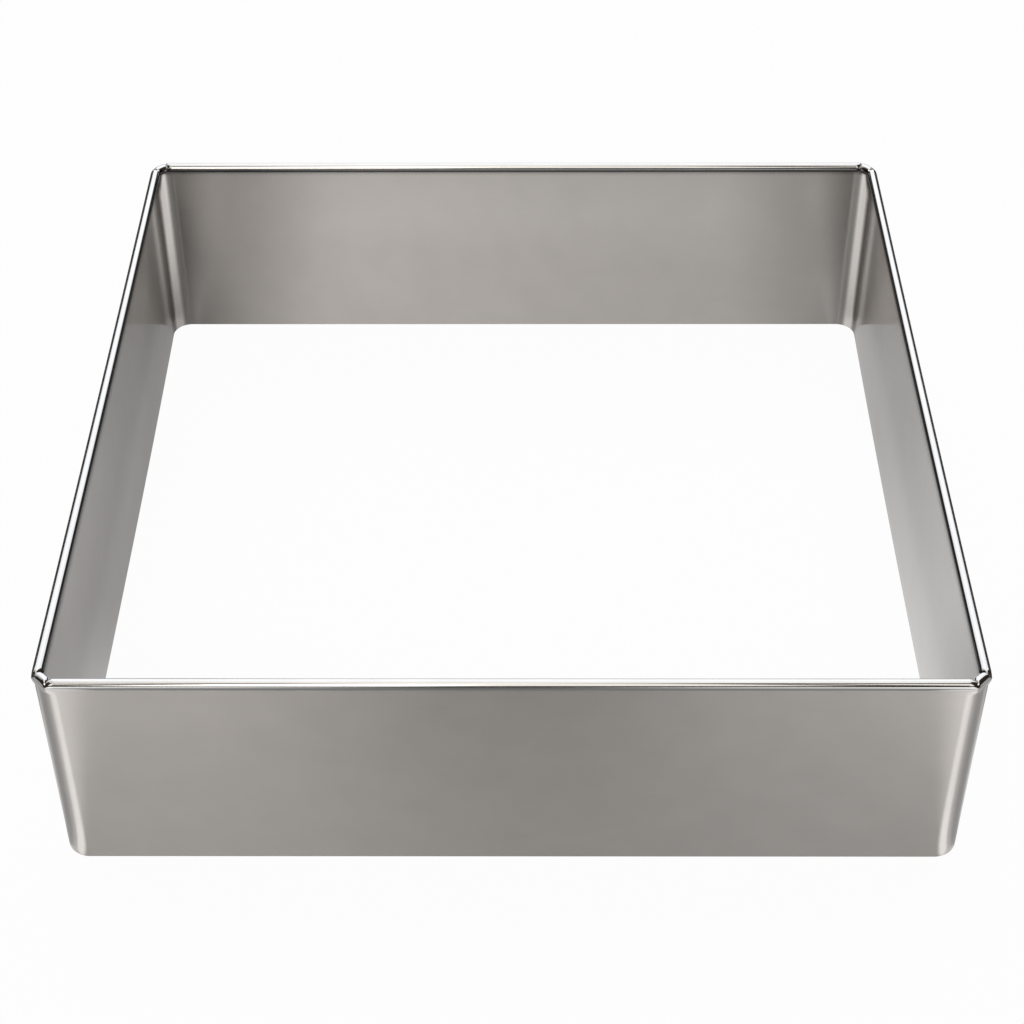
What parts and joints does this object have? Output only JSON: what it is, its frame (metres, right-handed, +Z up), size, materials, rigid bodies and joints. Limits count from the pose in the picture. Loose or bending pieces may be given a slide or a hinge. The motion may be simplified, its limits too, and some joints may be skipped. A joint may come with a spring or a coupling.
{
  "type": "square cake ring",
  "caption": "Square bottomless baking ring of brushed steel strip, its top edge rolled inwards round a stiffening wire and its four corners bent.",
  "frame": {"origin": "middle of the square, at the height of the plain bottom edge", "axes": "+Z up, from the bottom edge to the rolled rim; the front wall faces -Y and the left wall faces -X"},
  "size_m": [0.1802, 0.1802, 0.05],
  "materials": {
    "brushed_strip": "walls brushed along their length, rim polished",
    "steel_wire": "drawn wire, dull",
    "weld_steel": "ground flush and brushed over"
  },
  "bodies": {
    "root": {"band": "brushed_strip", "rim_wire": "steel_wire", "seam_weld": "weld_steel"}
  },
  "joints": []
}
